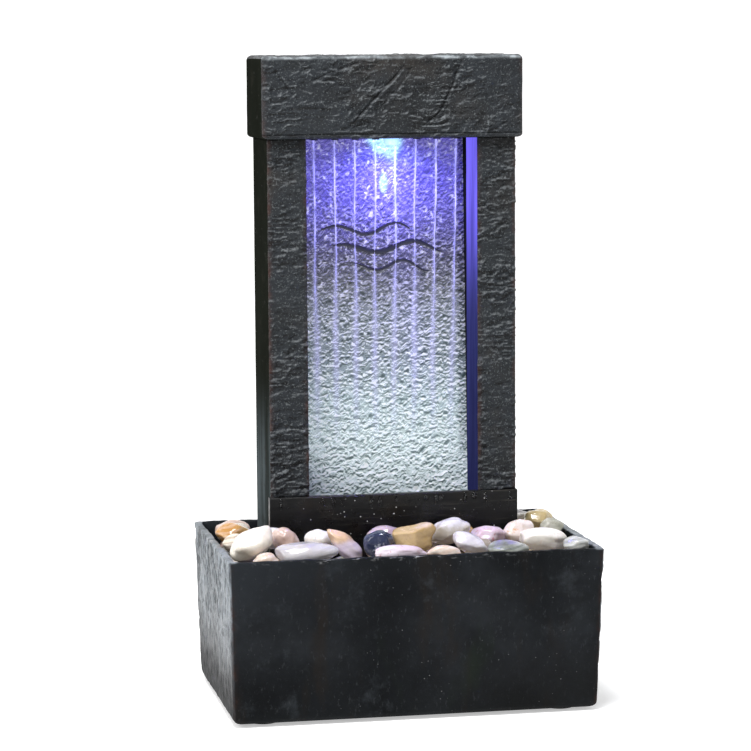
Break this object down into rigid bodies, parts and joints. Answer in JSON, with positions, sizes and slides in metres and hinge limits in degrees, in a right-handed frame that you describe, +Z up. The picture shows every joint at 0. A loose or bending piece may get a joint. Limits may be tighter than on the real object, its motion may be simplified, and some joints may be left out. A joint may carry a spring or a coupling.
{
  "type": "tabletop water fountain",
  "caption": "Lit tabletop water fountain: slate-look tower with a leaning rippled panel and lift-off cap, standing in a tapered pebble-filled basin with a hidden pump.",
  "frame": {"origin": "middle of the basin's footprint, on the table", "axes": "+X to the right seen from the front, +Y towards the back, +Z up"},
  "size_m": [0.15, 0.102, 0.26],
  "materials": {
    "slate_resin": "cast slate relief, worn brown patina, satin",
    "wet_slate": "smooth dark slate, wet",
    "black_plastic": "moulded, fine grain",
    "pump_plastic": "moulded, satin",
    "regulator_grey": "moulded",
    "rotor_grey": "moulded",
    "black_rubber": "soft, matt",
    "clear_rubber": "soft, milky",
    "clear_vinyl": "clear flexible tube",
    "rippled_panel": "clear, hammered ripples",
    "dark_print": "dark raised print",
    "screw_steel": "plated",
    "circuit_green": "solder mask",
    "blue_lamp": "glowing blue",
    "clear_lens": "polished",
    "brass_pins": "polished",
    "potted_coil": "potted copper and steel core",
    "ceramic_white": "ground",
    "sponge_black": "open foam",
    "stone_mixed": "polished opaque stone",
    "stone_white": "polished opaque stone",
    "stone_amber": "polished opaque stone",
    "stone_rose": "polished opaque stone",
    "stone_grey": "polished opaque stone",
    "stone_dark": "polished opaque stone"
  },
  "bodies": {
    "base": {"basin": "slate_resin", "basin_feet": "black_rubber", "pump_body": "pump_plastic", "pump_stator": "potted_coil", "pump_volute": "pump_plastic", "pump_seal": "black_rubber", "pump_bushings": "black_rubber", "pump_shaft": "ceramic_white", "intake_cover": "pump_plastic", "filter_sponge": "sponge_black", "suction_cups": "clear_rubber", "cord_gland": "black_rubber", "lamp_socket": "black_plastic", "lamp_pins": "brass_pins"},
    "impeller": {"pump_impeller": "rotor_grey"},
    "regulator": {"flow_regulator": "regulator_grey"},
    "tower": {"stile_left": "slate_resin", "stile_right": "slate_resin", "apron": "wet_slate", "sill": "wet_slate", "rear_cover": "black_plastic", "header": "black_plastic", "case_screws": "screw_steel", "panel": "rippled_panel", "panel_pads": "clear_rubber", "panel_motif": "dark_print", "hose": "clear_vinyl", "elbow": "black_plastic", "spray_bar": "black_plastic", "bar_plug": "black_plastic", "bar_clips": "black_plastic", "lamp_housing": "black_plastic", "lamp_board": "circuit_green", "lamp_emitter": "blue_lamp", "lamp_lens": "clear_lens", "lamp_lead": "black_rubber", "lamp_plug": "black_plastic"},
    "cap": {"cap": "slate_resin"},
    "tray": {"pebble_tray": "black_plastic", "pebbles_bed": "stone_mixed", "pebbles_white": "stone_white", "pebbles_amber": "stone_amber", "pebbles_rose": "stone_rose", "pebbles_grey": "stone_grey", "pebbles_dark": "stone_dark"}
  },
  "joints": [
    {"name": "impeller_spin", "type": "hinge", "parent": "base", "child": "impeller", "pos_m": [0, 0.016, 0.0234], "axis": [1, 0, 0], "continuous": true},
    {"name": "regulator_turn", "type": "hinge", "parent": "base", "child": "regulator", "pos_m": [0.025, 0.016, 0.0234], "axis": [1, 0, 0], "range_deg": [0, 90]},
    {"name": "tower_lift", "type": "slide", "parent": "base", "child": "tower", "axis": [0, 0, 1], "range_m": [0, 0.09]},
    {"name": "cap_lift", "type": "slide", "parent": "tower", "child": "cap", "axis": [0, 0, 1], "range_m": [0, 0.06]},
    {"name": "tray_lift", "type": "slide", "parent": "base", "child": "tray", "axis": [0, 0, 1], "range_m": [0, 0.05]}
  ]
}
